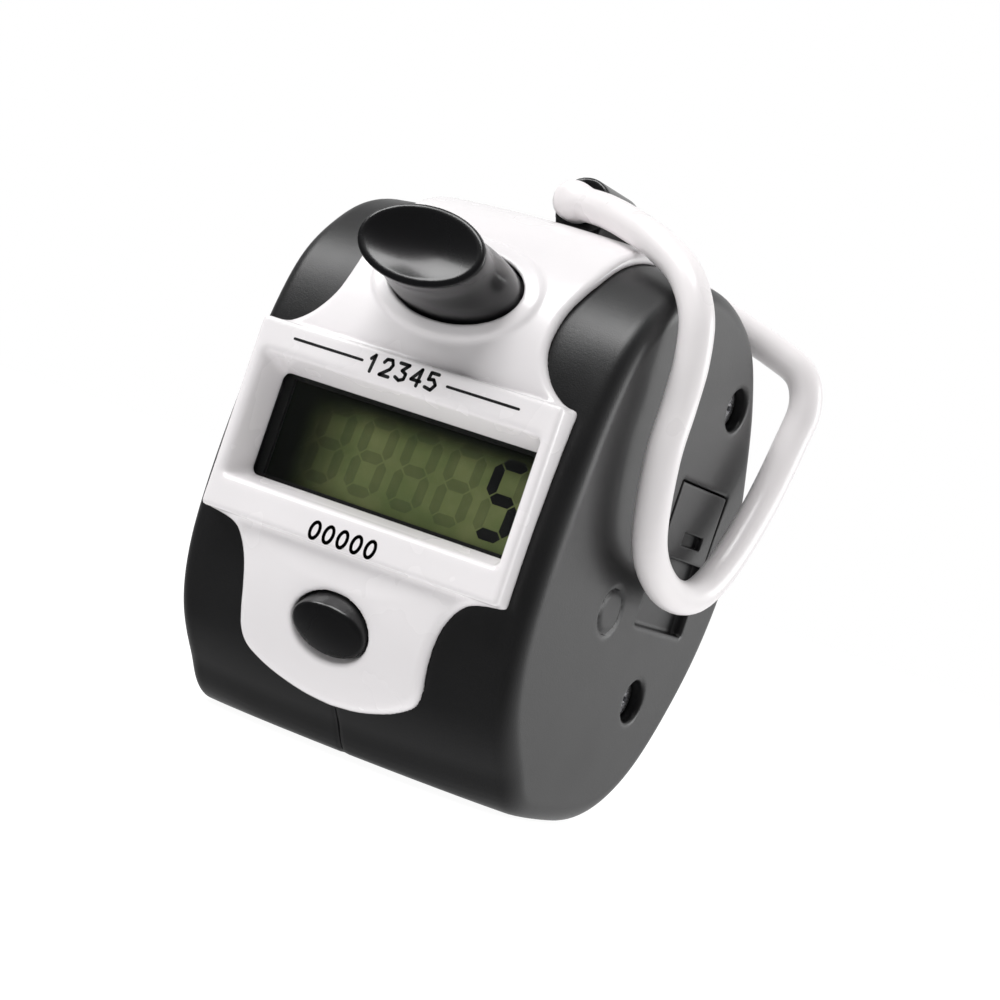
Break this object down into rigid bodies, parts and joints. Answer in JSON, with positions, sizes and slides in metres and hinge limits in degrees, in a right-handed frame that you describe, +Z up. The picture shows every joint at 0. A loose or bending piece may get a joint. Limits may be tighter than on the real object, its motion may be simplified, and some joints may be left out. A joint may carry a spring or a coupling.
{
  "type": "hand tally counter",
  "caption": "Digital hand tally counter: rounded casing with a display in a raised bezel, a thumb button on top, a reset button below, a sliding battery door and a hinged finger ring.",
  "frame": {"origin": "on the flat base, in the seam plane between the casing's halves and about midway between the base's front and back edges", "axes": "+X to the right as the display is read, towards the battery door and the hanging finger ring; -Y the way the display faces; +Z up, from the base to the ring's pivot"},
  "size_m": [0.0456, 0.0544, 0.065],
  "materials": {
    "shell_plastic": "black ABS with a fine satin texture",
    "plate_plastic": "white glossy ABS",
    "key_plastic": "polished black ABS",
    "ring_plastic": "white polished plastic",
    "lens_clear": "clear polished acrylic",
    "lcd_glass": "olive liquid crystal display with dark segments",
    "reflector_foil": "matt silver reflector film",
    "frame_plastic": "plain black moulded plastic",
    "silicone": "grey silicone rubber",
    "circuit_board": "green solder resist",
    "chip_resin": "black epoxy",
    "component_bodies": "moulded component bodies",
    "screw_steel": "zinc-plated steel",
    "spring_steel": "drawn spring wire",
    "cell_steel": "nickel-plated cell can",
    "contact_metal": "bare spring brass",
    "wire_sheath": "red insulation"
  },
  "bodies": {
    "case": {"right_shell": "shell_plastic", "left_shell": "shell_plastic", "face_plate": "plate_plastic", "display_lens": "lens_clear", "lcd_panel": "lcd_glass", "lcd_reflector": "reflector_foil", "display_frame": "frame_plastic", "zebra_strips": "silicone", "main_board": "circuit_board", "chip_cover": "chip_resin", "board_components": "component_bodies", "board_screws": "screw_steel", "count_spring": "spring_steel", "count_dome": "silicone", "count_board": "circuit_board", "reset_dome": "silicone", "reset_board": "circuit_board", "switch_board_screws": "screw_steel", "ring_pivot_block": "key_plastic", "battery_tray": "frame_plastic", "button_cell": "cell_steel", "battery_contacts": "contact_metal", "link_wires": "wire_sheath", "case_screws": "screw_steel"},
    "count_key": {"count_button": "key_plastic"},
    "reset_key": {"reset_button": "key_plastic"},
    "ring": {"finger_ring": "ring_plastic"},
    "door": {"battery_door": "shell_plastic"}
  },
  "joints": [
    {"name": "count_press", "type": "slide", "parent": "case", "child": "count_key", "axis": [0, 0.9816, -0.1908], "range_m": [0, 0.002], "stiffness_N_per_m": 400, "springref_m": -0.001, "deforming": ["count_spring", "count_dome"]},
    {"name": "reset_press", "type": "slide", "parent": "case", "child": "reset_key", "axis": [0, 0.766, 0.6428], "range_m": [0, 0.0008], "stiffness_N_per_m": 600, "springref_m": -0.0006, "deforming": ["reset_dome"]},
    {"name": "ring_swing", "type": "hinge", "parent": "case", "child": "ring", "pos_m": [0, 0.0074, 0.0618], "axis": [0, -1, 0], "range_deg": [0, 190]},
    {"name": "door_slide", "type": "slide", "parent": "case", "child": "door", "axis": [0, 0, -1], "range_m": [0, 0.0076]}
  ]
}
